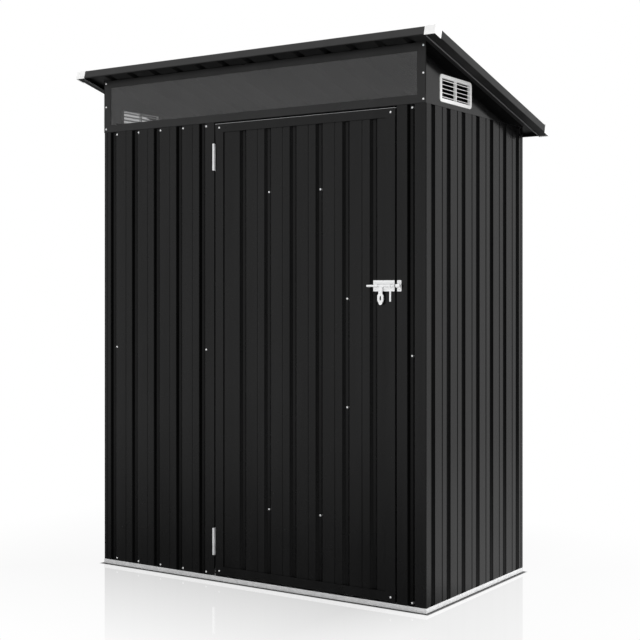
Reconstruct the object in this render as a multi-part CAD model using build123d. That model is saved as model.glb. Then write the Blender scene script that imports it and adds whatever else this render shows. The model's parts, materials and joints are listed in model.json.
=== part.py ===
"""Small lean-to garden shed of ribbed painted steel, with a window band over its single door.

Millimetres. +X runs to the right along the front, +Y to the back, +Z up.
The origin is the centre of the footprint, on the ground.
"""

from build123d import *
import math
import os

# Walls, measured over the outer flats of the ribbed sheets
left_panel_width = 525.5
right_strip_width = 107.5
wall_depth = 730.0
wall_top = 1624.0
front_rise = 195.8
back_rise = 5.0
sheet = 1.0
frame_plate = 1.5
fold_radius = 2.5
cut_overrun = 5.0

# Rib pattern shared by walls and door, and the ribs of the roof
rib_pitch = 106.5
groove_width = 29.0
groove_depth = 7.0
flank_run = 9.5
crease_width = 6.0
crease_depth = 1.2
crease_place_share = 0.63
rib_margin = 25.0
front_first_groove = 44.0
strip_first_groove = 52.0
door_first_groove = 120.0
roof_rib_height = 12.0
roof_flank_run = 7.0

# Base rail
lip_height = 17.0
upstand_height = 42.0

# Inner frame
post_leg = 44.0
jamb_width = 50.0
jamb_depth = 25.0
frame_top_drop = 24.0
header_depth = 30.0
side_rail_rise = 20.0

# Outer corner trims
trim_leg = 15.0

# Doorway and door
door_width = 737.0
door_gap = 5.0
door_rail_height = 31.0
door_stile_width = 36.0
door_back_flange = 24.0
door_panel_setback = 3.0
brace_width = 30.0
brace_depth = 10.0
upper_brace_z = 1368.0
lower_brace_z = 273.0
brace_groove_index = 4

# Window band
sill_height = 28.0
window_height = 139.0
window_post_width = 32.0
window_post_return = 30.0
head_return = 22.0
glazing = 3.0
glazing_side_gap = 2.0
glazing_top_gap = 6.0

# Vents in the gables
vent_width = 224.0
vent_height = 90.0
vent_setback = 89.0
vent_lift = 16.0
vent_corner = 12.0
vent_bevel = 1.5
vent_flange = 3.0
vent_border = 8.5
vent_collar_depth = 8.0
vent_collar_wall = 3.0
slat_count = 5
slat_thickness = 1.4
slat_depth = 7.0
slat_tilt_deg = 30.0

# Roof
front_overhang = 75.0
back_overhang = 67.9
side_overhang = 72.0
fascia_height = 28.0
fascia_top_flange = 26.0
fascia_bottom_lip = 6.0
barge_bottom_flange = 33.0
barge_lip = 4.5
cap_leg = 40.0
cap_wall = 2.0
cap_bevel = 2.0

# Hinges
hinge_length = 95.0
hinge_end_distance = 118.0
barrel_radius = 4.2
pin_radius = 2.5
pin_clearance = 0.2
knuckle_gap = 0.5
door_knuckle_share = 0.36
hinge_standoff = 6.0
hinge_leaf = 1.0
jamb_leaf_reach = 20.0

# Bolt
bolt_z = 1043.0
bolt_travel = 14.0
bolt_plate_width = 80.0
bolt_plate_height = 36.0
bolt_plate_thickness = 1.5
bolt_plate_inset = 2.0
bolt_plate_corner = 2.0
rod_radius = 3.5
rod_bevel = 1.2
rod_lift = 5.5
rod_length = 105.0
rod_end_past_door = 1.0
guide_width = 9.0
guide_inset = 11.0
guide_wall = 1.8
guide_clearance = 0.4
tab_width = 22.0
tab_thickness = 3.0
tab_offset = 30.5
tab_neck_width = 14.0
tab_tip_width = 13.0
tab_neck_drop = 26.0
tab_shoulder_drop = 31.0
tab_waist_drop = 48.0
tab_drop = 62.0
eye_width = 6.0
eye_height = 15.0
eye_drop = 40.0
lug_width = 6.0
lug_drop = 51.0
lug_gap = 5.0
keeper_width = 15.5
keeper_inset = 2.0
keeper_clearance = 0.8

# Planes and edges worked out from the sizes above
wall_width = left_panel_width + door_width + 2 * door_gap + right_strip_width
half_width = wall_width / 2
half_depth = wall_depth / 2
rib_thickness = groove_depth + sheet
frame_x = half_width - rib_thickness
frame_y = half_depth - rib_thickness
frame_top = wall_top - frame_top_drop
opening_left = left_panel_width - half_width
opening_right = half_width - right_strip_width
door_left = opening_left + door_gap
door_right = opening_right - door_gap
door_middle = (door_left + door_right) / 2
door_bottom = lip_height + door_gap
door_top = wall_top - door_gap
door_front = -half_depth - sheet
door_back = -frame_y + sheet + door_panel_setback
band_front = -half_depth - 2 * sheet
sill_top = wall_top + sill_height
head_bottom = sill_top + window_height
rail_width = frame_plate + rib_thickness + frame_plate

# Roof slope and the height of the sheet's underside over the walls
slope_deg = math.degrees(math.atan((front_rise - back_rise) / wall_depth))
slope_cos = math.cos(math.radians(slope_deg))
slope_tan = math.tan(math.radians(slope_deg))
roof_half_width = half_width + side_overhang
roof_length = (wall_depth + front_overhang + back_overhang) / slope_cos
sheet_level = fascia_height - sheet - roof_rib_height - sheet
fascia_y = -half_depth - front_overhang
fascia_z = wall_top + front_rise + front_overhang * slope_tan - sheet_level / slope_cos
roof_frame = Pos(0, fascia_y, fascia_z) * Rot(-slope_deg, 0, 0)


def roof_underside(y):
    """Height of the roof sheet's lower face over a line across the shed."""
    return wall_top + front_rise - slope_tan * (y + half_depth)


def block(x0, x1, y0, y1, z0, z1):
    """Box between two opposite corners."""
    middle = Pos((x0 + x1) / 2, (y0 + y1) / 2, (z0 + z1) / 2)
    return middle * Box(x1 - x0, y1 - y0, z1 - z0)


def above_roof():
    """Everything over the roof sheet's lower face."""
    top = sheet_level + wall_top
    return roof_frame * block(-roof_half_width, roof_half_width, -roof_length, roof_length, sheet_level, top)


def folded(points, thickness):
    """Section of a strip folded along a line, with rounded bends, thickened to the line's left."""
    line = FilletPolyline(*points, radius=fold_radius)
    return make_face(offset(line, thickness, side=Side.LEFT, kind=Kind.INTERSECTION))


def along_x(section, x0, x1):
    """Straight length of a section drawn in Y and Z."""
    return Pos(x0, 0, 0) * extrude(Plane.YZ * section, x1 - x0)


def along_y(section, y0, y1):
    """Straight length of a section drawn in X and Z."""
    return Pos(0, y1, 0) * extrude(Plane.XZ * section, y1 - y0)


def along_z(section, z0, z1):
    """Straight upright of a section drawn in X and Y."""
    return Pos(0, 0, z0) * extrude(section, z1 - z0)


def upright_cylinder(x, y, z0, z1, radius):
    """Round bar standing on z0."""
    return Pos(x, y, (z0 + z1) / 2) * Cylinder(radius, z1 - z0)


def across_cylinder(x0, x1, y, z, radius):
    """Round bar lying along X."""
    return Pos((x0 + x1) / 2, y, z) * Rot(0, 90, 0) * Cylinder(radius, x1 - x0)


def rib_line(start, end, centres):
    """Outer face of a ribbed sheet from start to end: grooves, each with a crease after it."""
    crease_step = groove_width / 2 + crease_place_share * (rib_pitch - groove_width)
    points = [(start, 0)]
    for centre in centres:
        left = centre - groove_width / 2
        right = centre + groove_width / 2
        crease = centre + crease_step
        points += [(left, 0), (left + flank_run, groove_depth)]
        points += [(right - flank_run, groove_depth), (right, 0)]
        if crease + crease_width < end:
            points += [(crease - crease_width / 2, 0), (crease, crease_depth)]
            points += [(crease + crease_width / 2, 0)]
    return points + [(end, 0)]


def rib_centres(first, end):
    """Groove centres from the first one to the last whole groove before the end."""
    count = 1 + math.floor((end - first - groove_width / 2) / rib_pitch)
    return [first + index * rib_pitch for index in range(count)]


def centred_first(length):
    """First groove of a pattern that lies evenly between both ends of a wall."""
    count = math.floor((length - groove_width - 2 * rib_margin) / rib_pitch)
    return (length - count * rib_pitch) / 2


def ribbed_sheet(start, end, first, height):
    """Upright sheet along local X with its outer flats on Y = 0 and its grooves towards +Y."""
    line = Polyline(*rib_line(start, end, rib_centres(first, end)))
    section = make_face(offset(line, sheet, side=Side.LEFT, kind=Kind.INTERSECTION))
    return extrude(section, height)


def base_rail(half_length, half_span):
    """Folded rail that the foot of a wall stands in, along local X, with mitred ends."""
    outer = -half_span - frame_plate
    inner = outer + rail_width
    end = half_length + frame_plate
    line = [(outer, lip_height), (outer, 0), (inner, 0), (inner, upstand_height)]
    rail = along_x(folded(line, frame_plate), -end, end)
    plan = [(-end, outer), (end, outer), (end - rail_width, inner), (rail_width - end, inner)]
    return rail & along_z(make_face(Polyline(*plan, close=True)), 0, upstand_height)


def base_rail_front():
    """Front rail, its upstand cut away in the doorway."""
    inner = -frame_y + frame_plate
    doorway = block(
        opening_left, opening_right, -half_depth, inner + cut_overrun,
        frame_plate, upstand_height + cut_overrun,
    )
    return base_rail(half_width, half_depth) - doorway


def corner_angle(x, y, leg, plate, z0, z1):
    """Upright angle at the right-hand back corner, with its legs running towards the middle."""
    return along_z(folded([(x, y - leg), (x, y), (x - leg, y)], plate), z0, z1)


def at_corners(shape):
    """The shape at the back right, back left, front right and front left corners."""
    back = [shape, mirror(shape, about=Plane.YZ)]
    return back + [mirror(corner, about=Plane.XZ) for corner in back]


def jamb(x0, x1):
    """Channel upright beside the doorway, open to the inside of the shed."""
    front = -frame_y
    back = front + jamb_depth
    line = [(x0, back), (x0, front), (x1, front), (x1, back)]
    return along_z(folded(line, frame_plate), upstand_height, frame_top)


def front_header():
    """Angle over the doorway, notched where the door closes under it."""
    front = -frame_y
    back = front + header_depth
    line = [(back, sill_top), (front, sill_top), (front, frame_top)]
    header = along_x(folded(line, frame_plate), -frame_x, frame_x)
    notch_front = front - cut_overrun
    notch_bottom = frame_top - cut_overrun
    return header - block(opening_left, opening_right, notch_front, back, notch_bottom, wall_top)


def back_top_rail():
    """Angle along the top of the back wall, under the roof sheet."""
    top = roof_underside(half_depth)
    line = [(frame_y, frame_top), (frame_y, top), (frame_y - header_depth, top)]
    return along_x(folded(line, frame_plate), -frame_x, frame_x)


def side_top_rail():
    """Stepped rail over the right-hand wall: it takes the wall below and the gable above."""
    ledge = wall_top + fold_radius
    line = [(frame_x, frame_top), (frame_x, ledge)]
    line += [(half_width, ledge), (half_width, wall_top + side_rail_rise)]
    end = frame_y - frame_plate
    return along_y(folded(line, sheet), -end, end) - above_roof()


def window_sill():
    """Trim under the window: a face and a ledge that reaches back to the header."""
    line = [(band_front, sill_top), (band_front, wall_top), (-frame_y, wall_top)]
    return along_x(folded(line, sheet), -half_width, half_width)


def window_post():
    """Angle at the right-hand end of the window, with its return inside the gable."""
    inner = half_width - window_post_width
    end = band_front + sheet + window_post_return
    section = folded([(inner, band_front), (half_width, band_front), (half_width, end)], sheet)
    return along_z(section, sill_top, roof_underside(band_front)) - above_roof()


def window_head():
    """Trim over the window: a face and a flange that the roof sheet lies on."""
    inner = half_width - window_post_width
    back = band_front + head_return
    line = [(back, roof_underside(back)), (band_front, roof_underside(band_front))]
    line += [(band_front, head_bottom)]
    return along_x(folded(line, sheet), -inner, inner)


def window_panel():
    """Tinted sheet against the back of the window trims, clear of the sill's bend."""
    end = half_width - sheet - glazing_side_gap
    front = band_front + sheet
    back = front + glazing
    top = roof_underside(back) - glazing_top_gap
    return block(-end, end, front, back, wall_top + fold_radius, top)


def vent_centre():
    """Middle of a vent in Y and Z."""
    return -half_depth + vent_setback + vent_width / 2, wall_top + vent_lift + vent_height / 2


def gable():
    """Flat tapering panel between the right-hand wall and the roof, with the vent's cut-out."""
    front = band_front
    back = half_depth + sheet
    points = [(front, wall_top), (back, wall_top)]
    points += [(back, roof_underside(back)), (front, roof_underside(front))]
    panel = along_x(make_face(Polyline(*points, close=True)), half_width, half_width + sheet)
    y, z = vent_centre()
    hole = Box(2 * cut_overrun, vent_width - 2 * vent_border, vent_height - 2 * vent_border)
    return panel - Pos(half_width, y, z) * hole


def vent():
    """Louvred vent: a rounded face plate, a collar through the gable and two columns of slats."""
    plate = extrude(RectangleRounded(vent_width, vent_height, vent_corner), vent_flange)
    plate = chamfer(plate.edges().group_by(Axis.Z)[-1], vent_bevel)
    collar_width = vent_width - 2 * vent_border
    collar_height = vent_height - 2 * vent_border
    depth = vent_flange + vent_collar_depth
    body = plate + Pos(0, 0, -vent_collar_depth / 2) * Box(collar_width, collar_height, vent_collar_depth)
    opening_width = (collar_width - 3 * vent_collar_wall) / 2
    opening_height = collar_height - 2 * vent_collar_wall
    column_step = (opening_width + vent_collar_wall) / 2
    middle = (vent_flange - vent_collar_depth) / 2
    slat_step = opening_height / slat_count
    for column in (-column_step, column_step):
        body -= Pos(column, 0, middle) * Box(opening_width, opening_height, depth + cut_overrun)
        for index in range(slat_count):
            height = (index + 1 / 2) * slat_step - opening_height / 2
            slat = Rot(slat_tilt_deg, 0, 0) * Box(opening_width, slat_thickness, slat_depth)
            body += Pos(column, height, middle) * slat
    y, z = vent_centre()
    return Pos(half_width + sheet, y, z) * Rot(0, 90, 0) * Rot(0, 0, 90) * body


def roof_sheet():
    """Ribbed sheet with raised ribs that run from the front to the back edge."""
    end = roof_half_width - sheet
    count = 2 * math.floor((half_width - groove_width) / rib_pitch) + 1
    first = -(count - 1) / 2 * rib_pitch
    points = [(-end, 0)]
    for index in range(count):
        left = first + index * rib_pitch - groove_width / 2
        right = left + groove_width
        points += [(left, 0), (left + roof_flank_run, roof_rib_height)]
        points += [(right - roof_flank_run, roof_rib_height), (right, 0)]
    points += [(end, 0)]
    line = Polyline(*points)
    section = make_face(offset(line, sheet, side=Side.LEFT, kind=Kind.INTERSECTION))
    return roof_frame * Pos(0, 0, sheet_level) * along_y(section, fold_radius, roof_length - fold_radius)


def roof_fascia():
    """Front edge trim, flat before it is tilted: a face, a flange over the ribs and a lower lip."""
    line = [(fascia_top_flange, fascia_height), (0, fascia_height), (0, 0), (fascia_bottom_lip, 0)]
    end = roof_half_width - sheet
    return along_x(folded(line, sheet), -end, end)


def roof_barge():
    """Right-hand edge trim, flat before it is tilted: a face, a top flange and a lower lipped one."""
    inner = roof_half_width - sheet
    lip = inner - barge_bottom_flange
    line = [(lip, 0), (roof_half_width, 0)]
    line += [(roof_half_width, fascia_height), (inner - fascia_top_flange, fascia_height)]
    trim = along_y(folded(line, sheet), 0, roof_length)
    trim += block(lip, lip + sheet, 0, roof_length, -barge_lip, sheet)
    middle = fascia_height / 2
    top = fascia_height + cut_overrun
    left = lip - cut_overrun
    for reach, low, high in ((fascia_top_flange, middle, top), (fascia_bottom_lip, -cut_overrun, middle)):
        trim -= block(left, inner, -cut_overrun, reach, low, high)
        trim -= block(left, inner, roof_length - reach, roof_length + cut_overrun, low, high)
    return trim


def far_end(shape):
    """The same piece at the back end of the flat roof."""
    return Pos(0, roof_length, 0) * mirror(shape, about=Plane.XZ)


def roof_cap():
    """Corner cap at the front right, wrapped round the outside of a fascia and a barge."""
    outer = roof_half_width + cap_wall
    inner = outer - cap_leg
    back = cap_leg - cap_wall
    cap = block(inner, outer, -cap_wall, back, -cap_wall, fascia_height + cap_wall)
    upright = cap.edges().filter_by(Axis.Z).sort_by(Axis.X)[-2:].sort_by(Axis.Y)[0]
    top = cap.edges().group_by(Axis.Z)[-1]
    cap = chamfer([upright, top.sort_by(Axis.Y)[0], top.sort_by(Axis.X)[-1]], cap_bevel)
    hollow = block(
        inner - cut_overrun, roof_half_width, 0, back + cut_overrun, -cap_wall - cut_overrun, fascia_height
    )
    return cap - hollow


def roof_caps():
    """Caps at all four corners of the tilted roof."""
    right = [roof_cap(), far_end(roof_cap())]
    return [roof_frame * cap for cap in right + [mirror(cap, about=Plane.YZ) for cap in right]]


def hinge_places():
    """Lower ends of the two hinges."""
    lower = door_bottom + hinge_end_distance - hinge_length / 2
    upper = door_top - hinge_end_distance - hinge_length / 2
    return lower, upper


hinge_x = door_left - door_gap / 2
hinge_y = door_front - hinge_standoff


def hinge_jamb_half(z0):
    """Jamb half of a hinge: two knuckles, the pin and a leaf on the jamb's cheek."""
    z1 = z0 + hinge_length
    knuckle = hinge_length * (1 - door_knuckle_share) / 2
    leaf_x = (opening_left, opening_left + hinge_leaf)
    half = upright_cylinder(hinge_x, hinge_y, z0, z1, pin_radius)
    for low, high in ((z0, z0 + knuckle), (z1 - knuckle, z1)):
        half += upright_cylinder(hinge_x, hinge_y, low, high, barrel_radius)
        half += block(*leaf_x, hinge_y, door_front, low, high)
    half += block(*leaf_x, door_front, -frame_y + jamb_leaf_reach, z0, z1)
    return half


def hinge_door_half(z0):
    """Door half of a hinge: the middle knuckle and a leaf on the door's edge."""
    knuckle = hinge_length * (1 - door_knuckle_share) / 2
    low = z0 + knuckle + knuckle_gap
    high = z0 + hinge_length - knuckle - knuckle_gap
    leaf_x = (door_left - hinge_leaf, door_left)
    half = upright_cylinder(hinge_x, hinge_y, low, high, barrel_radius)
    half += block(*leaf_x, hinge_y, door_front, low, high)
    bore_radius = pin_radius + pin_clearance
    half -= upright_cylinder(hinge_x, hinge_y, low - cut_overrun, high + cut_overrun, bore_radius)
    half += block(*leaf_x, door_front, door_back, z0, z0 + hinge_length)
    return half


def door_rail():
    """Channel along the bottom edge of the door, from one side edge to the other."""
    line = [(door_front, door_bottom + door_rail_height), (door_front, door_bottom)]
    line += [(door_back, door_bottom), (door_back, door_bottom + door_back_flange)]
    return along_x(folded(line, sheet), door_left, door_right)


def door_stile():
    """Channel along the left edge of the door, between the rails."""
    line = [(door_left + door_back_flange, door_back), (door_left, door_back)]
    line += [(door_left, door_front), (door_left + door_stile_width, door_front)]
    return along_z(folded(line, sheet), door_bottom + door_rail_height, door_top - door_rail_height)


def door_panel():
    """Ribbed sheet held in the door's channels, set back from their front."""
    height = door_top - door_bottom - 2 * fold_radius
    panel = ribbed_sheet(fold_radius, door_width - fold_radius, door_first_groove, height)
    return Pos(door_left, door_panel_setback - half_depth, door_bottom + fold_radius) * panel


def door_brace():
    """Welded brace on the back of the door panel: two cross bars and an upright between them."""
    front = door_back - sheet
    back = front + brace_depth
    half = brace_width / 2
    left = door_left + door_back_flange
    right = door_right - door_back_flange
    middle = door_left + door_first_groove + brace_groove_index * rib_pitch
    line = [(middle - half, back), (middle - half, front), (middle + half, front), (middle + half, back)]
    brace = along_z(folded(line, sheet), lower_brace_z + half, upper_brace_z - half)
    for z in (lower_brace_z, upper_brace_z):
        line = [(back, z + half), (front, z + half), (front, z - half), (back, z - half)]
        brace += along_x(folded(line, sheet), left, right)
    return brace


bolt_plate_right = door_right - bolt_plate_inset
bolt_plate_left = bolt_plate_right - bolt_plate_width
bolt_plate_front = door_front - bolt_plate_thickness
rod_y = bolt_plate_front - rod_lift
tab_middle = bolt_plate_left + tab_offset


def guide(x0, x1, seat_y, clearance):
    """Strap round the rod, standing on a plate whose front is at seat_y."""
    outer = rod_radius + clearance + guide_wall
    strap = across_cylinder(x0, x1, rod_y, bolt_z, outer)
    strap += block(x0, x1, rod_y, seat_y, bolt_z - outer, bolt_z + outer)
    bore = across_cylinder(x0 - cut_overrun, x1 + cut_overrun, rod_y, bolt_z, rod_radius + clearance)
    return strap - bore


def rounded_plate(x0, x1, back_y):
    """Thin plate with rounded corners, level with the bolt, its back on a face at back_y."""
    outline = RectangleRounded(x1 - x0, bolt_plate_height, bolt_plate_corner)
    flat = along_y(outline, back_y - bolt_plate_thickness, back_y)
    return Pos((x0 + x1) / 2, 0, bolt_z) * flat


def bolt_plate():
    """Plate on the door with two guides for the rod and a lug beside the thrown tab."""
    plate = rounded_plate(bolt_plate_left, bolt_plate_right, door_front)
    for left in (bolt_plate_left + guide_inset, bolt_plate_right - guide_inset - guide_width):
        plate += guide(left, left + guide_width, bolt_plate_front, guide_clearance)
    lug_left = tab_middle + bolt_travel + tab_width / 2 + lug_gap
    low = bolt_z - bolt_plate_height / 2
    plate += block(lug_left, lug_left + lug_width, bolt_plate_front, door_front, bolt_z - lug_drop, low)
    return plate


def bolt_rod():
    """Sliding rod, drawn back, with its hanging tab and padlock eye."""
    right = door_right + rod_end_past_door
    rod = across_cylinder(right - rod_length, right, rod_y, bolt_z, rod_radius)
    rod = chamfer(rod.edges().filter_by(GeomType.CIRCLE), rod_bevel)
    half = tab_width / 2
    neck = tab_neck_width / 2
    tip = tab_tip_width / 2
    tip_drop = tab_drop - tip
    side = [(neck, 0), (neck, -tab_neck_drop), (half, -tab_shoulder_drop)]
    side += [(half, -tab_waist_drop), (tip, -tip_drop)]
    other_side = [(-x, z) for x, z in reversed(side)]
    outline = make_face(Polyline(*side, *other_side, close=True))
    outline += Pos(0, -tip_drop) * Circle(tip)
    outline -= Pos(0, -eye_drop) * Rot(0, 0, 90) * SlotOverall(eye_height, eye_width)
    tab = along_y(outline, rod_y - tab_thickness / 2, rod_y + tab_thickness / 2)
    return rod + Pos(tab_middle, 0, bolt_z) * tab


def bolt_keeper():
    """Keeper on the wall beside the door, in line with the rod."""
    left = opening_right + keeper_inset
    right = left + keeper_width
    keeper = rounded_plate(left, right, -half_depth)
    return keeper + guide(left, right, -half_depth - bolt_plate_thickness, keeper_clearance)


wall_height = wall_top - fold_radius
back_height = roof_underside(half_depth) - fold_radius
side_sheet = ribbed_sheet(fold_radius, wall_depth - fold_radius, centred_first(wall_depth), wall_height)
left_sheet = ribbed_sheet(fold_radius, left_panel_width, front_first_groove, wall_height)
strip_sheet = ribbed_sheet(0, right_strip_width - fold_radius, strip_first_groove, wall_height)
back_sheet = ribbed_sheet(fold_radius, wall_width - fold_radius, centred_first(wall_width), back_height)
bottom_rail = door_rail()
left_stile = door_stile()
door_centre_height = (door_bottom + door_top) / 2
corner_trim = corner_angle(half_width + sheet, half_depth + sheet, trim_leg, sheet, lip_height, wall_top)
corner_post = corner_angle(frame_x, frame_y, post_leg, frame_plate, upstand_height, frame_top)
corner_names = ("back_right", "back_left", "front_right", "front_left")
lower_hinge, upper_hinge = hinge_places()

pieces = {
    "base_rail_front": base_rail_front(),
    "base_rail_back": Rot(0, 0, 180) * base_rail(half_width, half_depth),
    "base_rail_left": Rot(0, 0, -90) * base_rail(half_depth, half_width),
    "base_rail_right": Rot(0, 0, 90) * base_rail(half_depth, half_width),
    "corner_trims": Compound(at_corners(corner_trim)),
    "front_wall_left": Pos(-half_width, -half_depth, fold_radius) * left_sheet,
    "front_wall_right": Pos(opening_right, -half_depth, fold_radius) * strip_sheet,
    "right_wall": Pos(half_width, -half_depth, fold_radius) * Rot(0, 0, 90) * side_sheet,
    "left_wall": Pos(-half_width, half_depth, fold_radius) * Rot(0, 0, -90) * side_sheet,
    "back_wall": Pos(half_width, half_depth, fold_radius) * Rot(0, 0, 180) * back_sheet,
    "door_jamb_left": jamb(opening_left - jamb_width, opening_left),
    "door_jamb_right": jamb(opening_right, opening_right + jamb_width),
    "front_header": front_header(),
    "back_top_rail": back_top_rail(),
    "window_sill": window_sill(),
    "window_head": window_head(),
    "window_panel": window_panel(),
    "roof_sheet": roof_sheet(),
    "roof_fascia_front": roof_frame * roof_fascia(),
    "roof_fascia_back": roof_frame * far_end(roof_fascia()),
    "roof_caps": Compound(roof_caps()),
    "hinge_jamb_halves": Compound([hinge_jamb_half(lower_hinge), hinge_jamb_half(upper_hinge)]),
    "hinge_door_halves": Compound([hinge_door_half(lower_hinge), hinge_door_half(upper_hinge)]),
    "door_panel": door_panel(),
    "door_rail_bottom": bottom_rail,
    "door_rail_top": mirror(bottom_rail, about=Plane.XY.offset(door_centre_height)),
    "door_stile_left": left_stile,
    "door_stile_right": mirror(left_stile, about=Plane.YZ.offset(door_middle)),
    "door_brace": door_brace(),
    "bolt_plate": bolt_plate(),
    "bolt_rod": bolt_rod(),
    "bolt_keeper": bolt_keeper(),
}
right_hand = {
    "side_top_rail": side_top_rail(),
    "window_post": window_post(),
    "gable": gable(),
    "vent": vent(),
    "roof_barge": roof_frame * roof_barge(),
}
for name, shape in right_hand.items():
    pieces[f"{name}_right"] = shape
    pieces[f"{name}_left"] = mirror(shape, about=Plane.YZ)
for name, shape in zip(corner_names, at_corners(corner_post)):
    pieces[f"corner_post_{name}"] = shape

os.makedirs("parts", exist_ok=True)
for name, shape in pieces.items():
    export_step(shape, f"parts/{name}.step")
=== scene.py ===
"""Looks of the ribbed steel shed: paint, window, plated hardware, screw heads, light and camera.

Metres, in the frame of the solids: +X to the right along the front, +Y to the back, +Z up.
"""

import json
import math

import bmesh
import bpy
from mathutils import Matrix, Vector


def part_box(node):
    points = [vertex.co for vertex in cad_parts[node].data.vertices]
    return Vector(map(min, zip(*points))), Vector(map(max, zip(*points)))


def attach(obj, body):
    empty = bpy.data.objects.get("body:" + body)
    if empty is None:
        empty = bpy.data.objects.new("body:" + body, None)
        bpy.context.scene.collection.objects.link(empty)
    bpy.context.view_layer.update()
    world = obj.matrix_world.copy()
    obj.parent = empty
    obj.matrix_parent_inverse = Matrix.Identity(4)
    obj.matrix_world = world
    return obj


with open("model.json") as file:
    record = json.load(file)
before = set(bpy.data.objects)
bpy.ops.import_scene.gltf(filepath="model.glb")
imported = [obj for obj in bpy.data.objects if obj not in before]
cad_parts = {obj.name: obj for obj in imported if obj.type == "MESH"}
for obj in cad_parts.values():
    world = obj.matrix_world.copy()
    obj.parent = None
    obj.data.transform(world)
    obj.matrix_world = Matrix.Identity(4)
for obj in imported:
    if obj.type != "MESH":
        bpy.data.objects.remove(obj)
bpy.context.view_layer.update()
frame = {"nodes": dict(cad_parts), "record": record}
nodes = frame["nodes"]

forwards = Vector((0, -1, 0))
backwards = Vector((0, 1, 0))
rightwards = Vector((1, 0, 0))
leftwards = Vector((-1, 0, 0))
upwards = Vector((0, 0, 1))

# Camera that was fitted to the edges of the walls and the base rail
camera_place = (2.6264, -3.8934, 1.0202)
camera_yaw_deg = 33.56
camera_lens_mm = 71.07
camera_shift_y = -0.0424

# Screw heads; the profile is in shares of the radius, from the washer's foot to the recess
screw_radius = 0.003
small_screw_radius = 0.0024
screw_segments = 24
screw_sharp_angle_deg = 38
recess_arms = 4
recess_arm_half_steps = 1
recess_depth_share = 0.4
recess_rim_share = 0.5
screw_profile_shares = [
    (1.14, 0.0), (1.14, 0.12), (1.08, 0.18), (0.96, 0.2), (0.96, 0.38), (0.9, 0.56),
    (0.72, 0.7), (0.5, 0.76), (0.4, 0.77), (0.2, 0.77),
]

# Places of the screws, from the pattern of the sheets
rib_pitch = 0.1065
groove_width = 0.029
groove_depth = 0.007
front_first_groove = 0.044
strip_first_groove = 0.052
door_first_groove = 0.120
left_groove_count = 5
groove_screw_offset = 0.001
beside_groove_gap = 0.0043
top_screw_drop = 0.010
bottom_screw_height = 0.0265
middle_screw_height = 0.818
door_brace_heights = (1.368, 0.273)
door_brace_grooves = (1, 3)
door_middle_heights = (1.001, 0.641)
door_middle_groove = 4
door_corner_inset = 0.018
door_corner_rise = 0.0145
post_screw_heights = (1.637, 1.720, 1.808)
post_screw_inset = 0.009
plate_screw_inset = 0.0055
bolt_plate_thickness = 0.0015

# Paints: the clean colour, the colour under a film of dust, and how rough, wavy and glossy they are
sheet_paint = {
    "colour": (0.004, 0.004, 0.0041), "film": (0.007, 0.007, 0.0072),
    "roughness": 0.26, "waviness": 0.05, "gloss": 0.3,
}
side_paint = {
    "colour": (0.003, 0.003, 0.0031), "film": (0.006, 0.006, 0.0062),
    "roughness": 0.17, "waviness": 0.04, "gloss": 0.31,
}
trim_paint = {
    "colour": (0.006, 0.006, 0.0061), "film": (0.01, 0.01, 0.0102),
    "roughness": 0.3, "waviness": 0.03, "gloss": 0.48,
}
# Gables: a glossier copy of the trim paint, with its colour darkened as painted shade under the eaves
gable_shade_paint = {
    "colour": (0.0015, 0.0015, 0.0016), "film": (0.003, 0.003, 0.0031),
    "roughness": 0.14, "waviness": 0.012, "gloss": 0.54,
}
frame_paint = {
    "colour": (0.006, 0.006, 0.0061), "film": (0.01, 0.01, 0.0102),
    "roughness": 0.4, "waviness": 0.03, "gloss": 0.3,
}

# Dust streaks, dull patches, waves of the sheet and orange peel of all paints
streak_stretch = (16.0, 16.0, 1.3)
streak_detail = 4.0
patch_scale = 7.0
patch_detail = 3.0
patch_smoother = 0.04
patch_rougher = 0.06
wave_stretch = (9.0, 9.0, 3.0)
wave_detail = 1.0
wave_height = 0.004
peel_scale = 850.0
peel_detail = 2.0
peel_strength = 0.05
peel_height = 0.0004
underside_roughness = 0.5
underside_edges = (-0.9, -0.4)

# Painted highlights: lighter strips along folds, standing in for light caught by the door's top fold
# and the barge's lip
highlight_blend = 0.0003
door_edge_highlight_tone = (0.5, 0.505, 0.51)
door_edge_height = 0.0016
barge_lip_highlight_tone = (0.11, 0.111, 0.113)
barge_lip_height = 0.0042
roof_slope_deg = 14.65

# Painted shade in the grooves of the ribbed sheets, dimming their reflection: depth shares where it
# changes, and its levels on rims and creases, on flanks and on floors
groove_place_shares = (0.03, 0.08, 0.2, 0.3, 0.88, 0.97)
front_groove_shades = (0.3, 0.85, 0.5)
door_groove_shades = (0.3, 0.0, 0.3)
side_groove_shades = (0.85, 0.1, 0.8)

# Galvanised rail
spangle_scale = 95.0
spangle_randomness = 1.0
spangle_tones = ((0.8, 0.805, 0.81), (0.92, 0.922, 0.925))
spangle_roughness = (0.36, 0.52)
spangle_metallic = 0.25
zinc_grain_scale = 260.0
zinc_grain_detail = 2.0
zinc_grain_strength = 0.06
zinc_grain_height = 0.0005

# White plastic
plastic_cloud_scale = 18.0
plastic_cloud_detail = 3.0
plastic_tones = ((0.86, 0.86, 0.855), (0.92, 0.92, 0.915))
plastic_roughness = (0.38, 0.48)
plastic_grain_scale = 1400.0
plastic_grain_detail = 2.0
plastic_grain_strength = 0.05
plastic_grain_height = 0.0003

# Plated hardware
drawn_stretch = (240.0, 1500.0, 1500.0)
drawn_detail = 3.0
drawn_strength = 0.06
drawn_height = 0.0003
blotch_scale = 120.0
blotch_detail = 2.0
plate_tones = ((0.9, 0.905, 0.91), (0.95, 0.95, 0.955))
plate_roughness = (0.2, 0.34)
plate_metallic = 0.25

# Window panel
haze_stretch = (3.0, 3.0, 9.0)
haze_detail = 3.0
window_tints = ((0.37, 0.37, 0.373), (0.43, 0.43, 0.433))
window_roughness = (0.004, 0.016)
window_transmission = 0.95
window_refraction = 1.49

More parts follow.
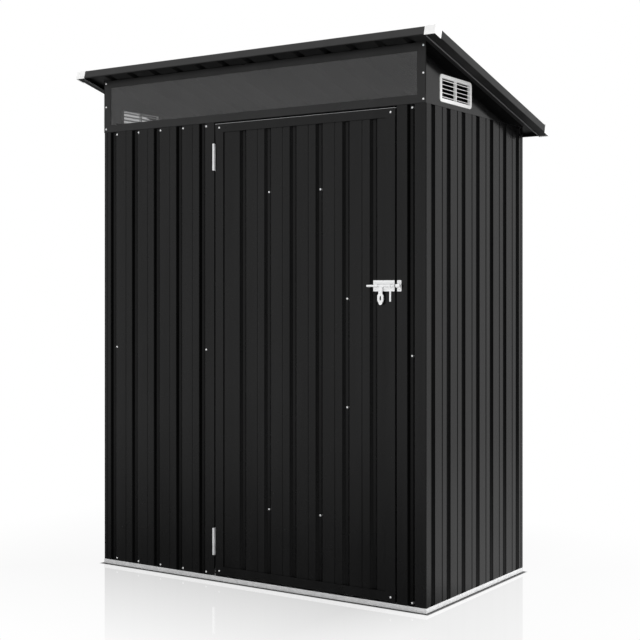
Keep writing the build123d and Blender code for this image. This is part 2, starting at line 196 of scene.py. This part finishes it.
# Light: levels of the white studio, as seen in reflections and as it falls on matt surfaces
reflected_level = 0.62
dark_side_level = 0.05
dark_side_axis = (0.906, -0.423, 0.0)
dark_side_edges = (0.55, 0.72)
white_side_level = 1.0
white_side_axis = (-0.553, 0.833, 0.0)
white_side_edges = (0.8, 0.92)
overhead_level = 1.1
overhead_edges = (0.4, 0.85)
soft_front_level = 1.0
soft_back_level = 0.38
soft_edges = (-0.8, 0.6)
key_direction = (0.48, 0.34, 0.81)
key_strength = 3.0
key_angle_deg = 24.0

# Floor: its tone, the mirror image in it, what reflections see of it and the shade at the foot
floor_size = 30.0
floor_tone = 0.84
floor_tone_spread = 0.02
floor_cloud_scale = 2.0
floor_cloud_detail = 2.0
floor_roughness = 0.5
floor_mirror_level = 0.31
floor_mirror_edges = (0.05, 0.95)
floor_mirror_roughness = 0.04
floor_mirror_right_share = 0.5
floor_mirror_right_edges = (0.45, 0.75)
floor_front_level = 0.12
floor_back_level = 0.75
floor_back_edges = (-0.45, 0.1)
floor_far_reflection_edges = (0.7, 5.0)
floor_shade_tone = 0.02
floor_shade_edges = (0.009, 0.016)
floor_inside_edges = (-0.05, -0.03)

# Span of a noise's values that is spread over a range
noise_start = 0.3
noise_end = 0.7

# Sockets of the mix node, for numbers and for colours
number_sockets = (2, 3)
number_result = 0
colour_sockets = (6, 7)
colour_result = 2


def add_node(tree, kind, settings=None, **inputs):
    """New shader node with its settings and input values; an underscore stands for a space."""
    made = tree.nodes.new(kind)
    for key, value in (settings or {}).items():
        setattr(made, key, value)
    for key, value in inputs.items():
        made.inputs[key.replace("_", " ")].default_value = value
    return made


def new_material(name):
    """Material with its node tree and its main shader."""
    material = bpy.data.materials.new(name)
    material.use_nodes = True
    return material, material.node_tree, material.node_tree.nodes["Principled BSDF"]


def object_noise(tree, scale, detail, stretch=(1.0, 1.0, 1.0)):
    """Noise fixed to the object, stretched along its axes."""
    coords = add_node(tree, "ShaderNodeTexCoord")
    mapping = add_node(tree, "ShaderNodeMapping", Scale=stretch)
    noise = add_node(tree, "ShaderNodeTexNoise", Scale=scale, Detail=detail)
    tree.links.new(coords.outputs["Object"], mapping.inputs["Vector"])
    tree.links.new(mapping.outputs["Vector"], noise.inputs["Vector"])
    return noise.outputs["Fac"]


def ranged(tree, value, low, high, start=noise_start, end=noise_end):
    """Value spread from its own range, a noise's if none is given, over another and held there."""
    spread = add_node(
        tree, "ShaderNodeMapRange", From_Min=start, From_Max=end, To_Min=low, To_Max=high
    )
    tree.links.new(value, spread.inputs["Value"])
    return spread.outputs["Result"]


def combined(tree, operation, first, second):
    """Result of an operation on a socket and a second socket or number."""
    made = add_node(tree, "ShaderNodeMath", {"operation": operation})
    tree.links.new(first, made.inputs[0])
    if isinstance(second, float):
        made.inputs[1].default_value = second
    else:
        tree.links.new(second, made.inputs[1])
    return made.outputs["Value"]


def mixed(tree, factor, first, second):
    """Colour between two colours or sockets, by a factor."""
    mix = add_node(tree, "ShaderNodeMix", {"data_type": "RGBA"})
    for value, index in zip((first, second), colour_sockets):
        if isinstance(value, tuple):
            mix.inputs[index].default_value = (*value, 1.0)
        else:
            tree.links.new(value, mix.inputs[index])
    tree.links.new(factor, mix.inputs[0])
    return mix.outputs[colour_result]


def level_between(tree, factor, first, second):
    """Level between two numbers or sockets, by a factor."""
    mix = add_node(tree, "ShaderNodeMix", {"data_type": "FLOAT"})
    tree.links.new(factor, mix.inputs[0])
    for value, index in zip((first, second), number_sockets):
        if isinstance(value, float):
            mix.inputs[index].default_value = value
        else:
            tree.links.new(value, mix.inputs[index])
    return mix.outputs[number_result]


def place_along(tree, direction, axis):
    """Place of a point or a direction along an axis."""
    along = add_node(tree, "ShaderNodeVectorMath", {"operation": "DOT_PRODUCT"})
    tree.links.new(direction, along.inputs[0])
    along.inputs[1].default_value = axis
    return along.outputs["Value"]


def bumped(tree, shader, layers):
    """Chain of bumps on a shader, given as height, strength and distance."""
    normal = None
    for height, strength, distance in layers:
        bump = add_node(tree, "ShaderNodeBump", Strength=strength, Distance=distance)
        tree.links.new(height, bump.inputs["Height"])
        if normal is not None:
            tree.links.new(normal, bump.inputs["Normal"])
        normal = bump.outputs["Normal"]
    tree.links.new(normal, shader.inputs["Normal"])


def outermost(node, axis):
    """Place of a node's outermost point along an axis."""
    return max(vertex.co.dot(axis) for vertex in nodes[node].data.vertices)


def groove_shade(tree, along, level, shades):
    """Painted shade by the depth under the flats: on rims and creases, on flanks and on floors."""
    rim, flank, bottom = shades
    levels = (0.0, rim, rim, flank, flank, bottom)
    ramp = add_node(tree, "ShaderNodeValToRGB")
    stops = ramp.color_ramp.elements
    stops.remove(stops[-1])
    stops[0].position = groove_place_shares[0]
    for place in groove_place_shares[1:]:
        stops.new(place)
    for stop, grey in zip(stops, levels):
        stop.color = (grey, grey, grey, 1.0)
    depth = ranged(tree, along, 1.0, 0.0, level - groove_depth, level)
    tree.links.new(depth, ramp.inputs["Fac"])
    return ramp.outputs["Color"]


def painted_metal(name, colour, film, roughness, waviness, gloss, highlight=None, ribbed=None):
    """Baked satin paint with dust in streaks, orange peel and a wavy sheet, matt on undersides.

    A painted highlight along a fold is given as an axis, the place along it where it begins and its
    tone.
    A ribbed sheet is given as its outward axis, the place of its flats and the levels of its painted
    groove shade.
    """
    material, tree, shader = new_material(name)
    coords = add_node(tree, "ShaderNodeTexCoord")
    facing = add_node(tree, "ShaderNodeSeparateXYZ")
    tree.links.new(coords.outputs["Normal"], facing.inputs["Vector"])
    streaks = object_noise(tree, 1.0, streak_detail, streak_stretch)
    patches = object_noise(tree, patch_scale, patch_detail)
    peel = object_noise(tree, peel_scale, peel_detail)
    wave = object_noise(tree, 1.0, wave_detail, wave_stretch)
    tone = mixed(tree, ranged(tree, streaks, 0.0, 1.0), colour, film)
    # Painted highlight: a lighter strip along a fold, where light would catch it
    if highlight is not None:
        axis, level, highlight_tone = highlight
        along = place_along(tree, coords.outputs["Object"], axis)
        strip = ranged(tree, along, 0.0, 1.0, level, level + highlight_blend)
        tone = mixed(tree, strip, tone, highlight_tone)
    if ribbed is not None:
        # Painted shade in the grooves: near-black metal dims their reflection by depth
        axis, level, shades = ribbed
        along = place_along(tree, coords.outputs["Object"], axis)
        tree.links.new(groove_shade(tree, along, level, shades), shader.inputs["Metallic"])
    tree.links.new(tone, shader.inputs["Base Color"])
    rough = ranged(tree, patches, roughness - patch_smoother, roughness + patch_rougher)
    dull = ranged(tree, facing.outputs["Z"], underside_roughness, 0.0, *underside_edges)
    tree.links.new(combined(tree, "ADD", rough, dull), shader.inputs["Roughness"])
    bumped(tree, shader, [(wave, waviness, wave_height), (peel, peel_strength, peel_height)])
    shader.inputs["Specular IOR Level"].default_value = gloss
    return material


def galvanised(name):
    """Dull zinc coat with its crystal spangle."""
    material, tree, shader = new_material(name)
    coords = add_node(tree, "ShaderNodeTexCoord")
    spangle = add_node(
        tree, "ShaderNodeTexVoronoi", Scale=spangle_scale, Randomness=spangle_randomness
    )
    tree.links.new(coords.outputs["Object"], spangle.inputs["Vector"])
    cells = add_node(tree, "ShaderNodeSeparateColor")
    tree.links.new(spangle.outputs["Color"], cells.inputs["Color"])
    tone = ranged(tree, cells.outputs["Red"], 0.0, 1.0, 0.0, 1.0)
    tree.links.new(mixed(tree, tone, *spangle_tones), shader.inputs["Base Color"])
    rough = ranged(tree, cells.outputs["Green"], *spangle_roughness, 0.0, 1.0)
    tree.links.new(rough, shader.inputs["Roughness"])
    grain = object_noise(tree, zinc_grain_scale, zinc_grain_detail)
    bumped(tree, shader, [(grain, zinc_grain_strength, zinc_grain_height)])
    shader.inputs["Metallic"].default_value = spangle_metallic
    return material


def moulded_plastic(name):
    """White moulded plastic with a fine grain."""
    material, tree, shader = new_material(name)
    clouds = object_noise(tree, plastic_cloud_scale, plastic_cloud_detail)
    tone = mixed(tree, ranged(tree, clouds, 0.0, 1.0), *plastic_tones)
    tree.links.new(tone, shader.inputs["Base Color"])
    tree.links.new(ranged(tree, clouds, *plastic_roughness), shader.inputs["Roughness"])
    grain = object_noise(tree, plastic_grain_scale, plastic_grain_detail)
    bumped(tree, shader, [(grain, plastic_grain_strength, plastic_grain_height)])
    return material


def plated_steel(name):
    """Bright zinc plate, faintly drawn along its length."""
    material, tree, shader = new_material(name)
    drawn = object_noise(tree, 1.0, drawn_detail, drawn_stretch)
    blotch = object_noise(tree, blotch_scale, blotch_detail)
    tone = mixed(tree, ranged(tree, blotch, 0.0, 1.0), *plate_tones)
    tree.links.new(tone, shader.inputs["Base Color"])
    tree.links.new(ranged(tree, drawn, *plate_roughness), shader.inputs["Roughness"])
    bumped(tree, shader, [(drawn, drawn_strength, drawn_height)])
    shader.inputs["Metallic"].default_value = plate_metallic
    return material


def tinted_panel(name):
    """Smoky clear plastic sheet with a faint haze."""
    material, tree, shader = new_material(name)
    haze = object_noise(tree, 1.0, haze_detail, haze_stretch)
    tone = mixed(tree, ranged(tree, haze, 0.0, 1.0), *window_tints)
    tree.links.new(tone, shader.inputs["Base Color"])
    tree.links.new(ranged(tree, haze, *window_roughness), shader.inputs["Roughness"])
    shader.inputs["Transmission Weight"].default_value = window_transmission
    shader.inputs["IOR"].default_value = window_refraction
    return material


def screw_head(mesh, place, outward, radius):
    """Washer and domed head with a cross recess, standing on a face."""
    stand = Matrix.Translation(place) @ outward.to_track_quat("Z", "Y").to_matrix().to_4x4()
    arm_step = screw_segments // recess_arms
    innermost = screw_profile_shares[-1][0]
    rings = []
    for ring_share, height_share in screw_profile_shares:
        ring = []
        for index in range(screw_segments):
            angle = 2 * math.pi * index / screw_segments
            in_arm = min(index % arm_step, arm_step - index % arm_step) <= recess_arm_half_steps
            sunk = ring_share < recess_rim_share and (in_arm or ring_share == innermost)
            height = height_share - (recess_depth_share if sunk else 0.0)
            across, along = ring_share * math.cos(angle), ring_share * math.sin(angle)
            spot = Vector((across, along, height)) * radius
            ring.append(mesh.verts.new(stand @ spot))
        rings.append(ring)
    for low, high in zip(rings, rings[1:]):
        for index in range(screw_segments):
            following = (index + 1) % screw_segments
            mesh.faces.new((low[index], low[following], high[following], high[index]))
    mesh.faces.new(rings[-1])
    mesh.faces.new(list(reversed(rings[0])))


def screw_piece(name, body, screws):
    """One piece with all the screw heads of a body, which all point forwards."""
    mesh = bmesh.new()
    for place, radius in screws:
        screw_head(mesh, Vector(place), forwards, radius)
    data = bpy.data.meshes.new(name)
    mesh.to_mesh(data)
    mesh.free()
    piece = bpy.data.objects.new(name, data)
    bpy.context.scene.collection.objects.link(piece)
    data.materials.append(materials["plated_hardware"])
    for face in data.polygons:
        face.use_smooth = True
    data.set_sharp_from_angle(angle=math.radians(screw_sharp_angle_deg))
    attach(piece, body)


def groove_screws(start, first, count, heights):
    """Screws of a wall in rows, one at each groove for each height."""
    feet = [start + rightwards * (first + index * rib_pitch) for index in range(count)]
    return [(foot + upwards * height, screw_radius) for foot in feet for height in heights]


def shed_screws():
    """Screw heads that stay with the walls."""
    right_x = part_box("right_wall")[1].x
    front_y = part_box("front_wall_left")[0].y
    strip_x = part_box("front_wall_right")[0].x
    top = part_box("right_wall")[1].z
    left_front = Vector((-right_x + groove_width / 2 + beside_groove_gap, front_y, 0))
    strip_start = Vector((strip_x + groove_screw_offset, front_y + groove_depth, 0))
    ends = (bottom_screw_height, top - top_screw_drop)
    last_groove = front_first_groove + (left_groove_count - 1) * rib_pitch
    found = groove_screws(left_front, front_first_groove, left_groove_count, ends)
    for groove in (front_first_groove, last_groove):
        found += groove_screws(left_front, groove, 1, (middle_screw_height,))
    found += groove_screws(strip_start, strip_first_groove, 1, (*ends, middle_screw_height))
    band_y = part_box("window_sill")[0].y
    for side in (-1, 1):
        for height in post_screw_heights:
            found.append(((side * (right_x - post_screw_inset), band_y, height), screw_radius))
    low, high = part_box("bolt_keeper")
    keeper_front = front_y - bolt_plate_thickness
    for z in (low.z + plate_screw_inset, high.z - plate_screw_inset):
        found.append((((low.x + high.x) / 2, keeper_front, z), small_screw_radius))
    return found


def door_screws():
    """Screw heads that swing with the door."""
    low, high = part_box("door_rail_top")
    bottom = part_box("door_rail_bottom")[0].z
    sheet_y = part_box("door_panel")[0].y
    found = []
    for x in (low.x + door_corner_inset, high.x - door_corner_inset):
        for z in (high.z - door_corner_rise, bottom + door_corner_rise):
            found.append(((x, low.y, z), screw_radius))
    spots = [(groove, z) for groove in door_brace_grooves for z in door_brace_heights]
    spots += [(door_middle_groove, z) for z in door_middle_heights]
    for groove, z in spots:
        x = low.x + door_first_groove + groove * rib_pitch + groove_screw_offset
        found.append(((x, sheet_y + groove_depth, z), screw_radius))
    return found


def studio_level(tree, direction):
    """Studio as reflections see it: dark to the front right, white to the back left and above."""
    unit = add_node(tree, "ShaderNodeVectorMath", {"operation": "NORMALIZE"})
    tree.links.new(direction, unit.inputs[0])
    dark_side = place_along(tree, unit.outputs["Vector"], dark_side_axis)
    white_side = place_along(tree, unit.outputs["Vector"], white_side_axis)
    overhead = place_along(tree, unit.outputs["Vector"], upwards)
    dark_level = ranged(tree, dark_side, reflected_level, dark_side_level, *dark_side_edges)
    white_level = ranged(tree, white_side, 0.0, white_side_level, *white_side_edges)
    top_level = ranged(tree, overhead, 0.0, overhead_level, *overhead_edges)
    return combined(tree, "ADD", combined(tree, "MAXIMUM", dark_level, white_level), top_level)


def studio_world():
    """White studio: the camera sees white, and matt surfaces get more light from the front."""
    world = bpy.data.worlds.new("studio")
    bpy.context.scene.world = world
    world.use_nodes = True
    tree = world.node_tree
    background = tree.nodes["Background"]
    direction = add_node(tree, "ShaderNodeTexCoord").outputs["Generated"]
    back = place_along(tree, direction, backwards)
    soft = ranged(tree, back, soft_front_level, soft_back_level, *soft_edges)
    path = add_node(tree, "ShaderNodeLightPath")
    lit = level_between(tree, path.outputs["Is Glossy Ray"], soft, studio_level(tree, direction))
    by_camera = path.outputs["Is Camera Ray"]
    white = combined(tree, "MAXIMUM", by_camera, path.outputs["Is Transmission Ray"])
    level = level_between(tree, white, lit, 1.0)
    background.inputs["Color"].default_value = (1.0, 1.0, 1.0, 1.0)
    tree.links.new(level, background.inputs["Strength"])


def footprint_distance(tree, axes):
    """Distance outside the base rails' footprint, below zero inside it."""
    sides = []
    for name, half in (("X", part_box("base_rail_right")[1].x), ("Y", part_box("base_rail_back")[1].y)):
        away = add_node(tree, "ShaderNodeMath", {"operation": "ABSOLUTE"})
        tree.links.new(axes.outputs[name], away.inputs[0])
        sides.append(combined(tree, "SUBTRACT", away.outputs["Value"], half))
    return combined(tree, "MAXIMUM", *sides)


def layered(tree, share, under, over):
    """One shader laid over another by a share."""
    blend = add_node(tree, "ShaderNodeMixShader")
    for source, socket in zip((share, under, over), blend.inputs):
        tree.links.new(source, socket)
    return blend.outputs["Shader"]


def floor_material():
    """White floor with a faint mirror image of the shed and a thin shade along its foot."""
    material, tree, shader = new_material("studio_floor")
    shader.inputs["Roughness"].default_value = floor_roughness
    place = add_node(tree, "ShaderNodeTexCoord").outputs["Object"]
    axes = add_node(tree, "ShaderNodeSeparateXYZ")
    tree.links.new(place, axes.inputs["Vector"])
    apart = footprint_distance(tree, axes)
    path = add_node(tree, "ShaderNodeLightPath")
    by_camera = path.outputs["Is Camera Ray"]
    by_reflection = path.outputs["Is Glossy Ray"]

    clouds = ranged(tree, object_noise(tree, floor_cloud_scale, floor_cloud_detail), 0.0, 1.0)
    tone = mixed(tree, clouds, (floor_tone,) * 3, (floor_tone + floor_tone_spread,) * 3)
    outside = ranged(tree, apart, 0.0, 1.0, *floor_shade_edges)
    inside = ranged(tree, apart, 1.0, 0.0, *floor_inside_edges)
    unshaded = combined(tree, "MAXIMUM", outside, inside)
    tone = mixed(tree, unshaded, (floor_shade_tone,) * 3, tone)
    tree.links.new(tone, shader.inputs["Base Color"])

    near = ranged(tree, axes.outputs["Y"], floor_front_level, floor_back_level, *floor_back_edges)
    distance = add_node(tree, "ShaderNodeVectorMath", {"operation": "LENGTH"})
    tree.links.new(place, distance.inputs[0])
    far = ranged(tree, distance.outputs["Value"], 0.0, 1.0, *floor_far_reflection_edges)
    reflected = level_between(tree, far, near, studio_level(tree, place))
    white = add_node(tree, "ShaderNodeEmission")
    tree.links.new(level_between(tree, by_reflection, 1.0, reflected), white.inputs["Strength"])

    mirror_fade = ranged(tree, apart, floor_mirror_level, 0.0, *floor_mirror_edges)
    right_place = axes.outputs["X"]
    right_fade = ranged(tree, right_place, 1.0, floor_mirror_right_share, *floor_mirror_right_edges)
    mirror_share = combined(tree, "MULTIPLY", mirror_fade, right_fade)
    mirror_share = combined(tree, "MULTIPLY", mirror_share, by_camera)
    mirror = add_node(tree, "ShaderNodeBsdfGlossy", Roughness=floor_mirror_roughness)
    polished = layered(tree, mirror_share, white.outputs["Emission"], mirror.outputs["BSDF"])

    through = combined(tree, "MAXIMUM", by_reflection, path.outputs["Is Transmission Ray"])
    seen = combined(tree, "MULTIPLY", combined(tree, "MAXIMUM", by_camera, through), outside)
    surface = layered(tree, seen, shader.outputs["BSDF"], polished)
    tree.links.new(surface, tree.nodes["Material Output"].inputs["Surface"])
    return material


def floor():
    """Plane under the shed, for the stage only."""
    mesh = bmesh.new()
    bmesh.ops.create_grid(mesh, x_segments=1, y_segments=1, size=floor_size / 2)
    data = bpy.data.meshes.new("floor")
    mesh.to_mesh(data)
    mesh.free()
    plane = bpy.data.objects.new("floor", data)
    bpy.context.scene.collection.objects.link(plane)
    data.materials.append(floor_material())


def key_light():
    """Soft distant lamp high over the right-hand side."""
    lamp = bpy.data.lights.new("key", "SUN")
    lamp.energy = key_strength
    lamp.angle = math.radians(key_angle_deg)
    holder = bpy.data.objects.new("key", lamp)
    bpy.context.scene.collection.objects.link(holder)
    holder.rotation_euler = Vector(key_direction).to_track_quat("Z", "Y").to_euler()


def camera():
    """Camera at the photo's place, level, with its horizon shifted."""
    data = bpy.data.cameras.new("camera")
    data.lens = camera_lens_mm
    data.shift_y = camera_shift_y
    holder = bpy.data.objects.new("camera", data)
    holder.location = camera_place
    holder.rotation_euler = (math.pi / 2, 0, math.radians(camera_yaw_deg))
    bpy.context.scene.collection.objects.link(holder)
    bpy.context.scene.camera = holder


roof_slope = math.radians(roof_slope_deg)
under_roof = -Vector((0, math.sin(roof_slope), math.cos(roof_slope)))
door_edge_start = outermost("door_rail_top", upwards) - door_edge_height
barge_lip_start = outermost("roof_barge_right", under_roof) - barge_lip_height
# Painted highlight along the door's top fold
door_edge_highlight = (upwards, door_edge_start, door_edge_highlight_tone)
# Painted highlight along the barge's lip
barge_lip_highlight = (under_roof, barge_lip_start, barge_lip_highlight_tone)
materials = {
    "painted_sheet": painted_metal("painted_sheet", **sheet_paint),
    "painted_sheet_edge_highlight": painted_metal("painted_sheet_edge_highlight", **sheet_paint, highlight=door_edge_highlight),
    "painted_trim": painted_metal("painted_trim", **trim_paint),
    "painted_trim_lip_highlight": painted_metal("painted_trim_lip_highlight", **trim_paint, highlight=barge_lip_highlight),
    "painted_gable_shade": painted_metal("painted_gable_shade", **gable_shade_paint),
    "frame_steel": painted_metal("frame_steel", **frame_paint),
    "galvanised_steel": galvanised("galvanised_steel"),
    "white_plastic": moulded_plastic("white_plastic"),
    "plated_hardware": plated_steel("plated_hardware"),
    "tinted_panel": tinted_panel("tinted_panel"),
}

# Nodes with a paint of their own in place of their slot's
own_paints = {
    "door_rail_top": "painted_sheet_edge_highlight",
    "roof_barge_left": "painted_trim_lip_highlight",
    "roof_barge_right": "painted_trim_lip_highlight",
    "gable_left": "painted_gable_shade",
    "gable_right": "painted_gable_shade",
}
# Ribbed sheets, each with a paint of its own that carries painted shade in its grooves
ribbed_faces = {
    "front_wall_left": (forwards, sheet_paint, front_groove_shades),
    "front_wall_right": (forwards, sheet_paint, front_groove_shades),
    "right_wall": (rightwards, side_paint, side_groove_shades),
    "left_wall": (leftwards, side_paint, side_groove_shades),
    "back_wall": (backwards, side_paint, side_groove_shades),
    "door_panel": (forwards, sheet_paint, door_groove_shades),
}
for node, (axis, paint, shades) in ribbed_faces.items():
    name = f"painted_{node}"
    materials[name] = painted_metal(name, **paint, ribbed=(axis, outermost(node, axis), shades))
    own_paints[node] = name
for subpart in frame["record"]["subparts"]:
    data = nodes[subpart["node"]].data
    data.materials.clear()
    data.materials.append(materials[own_paints.get(subpart["node"], subpart["material_slot"])])

screw_piece("wall_screws", "shed", shed_screws())
screw_piece("door_screws", "door", door_screws())
studio_world()
floor()
key_light()
camera()
bpy.context.scene.view_settings.view_transform = "Standard"
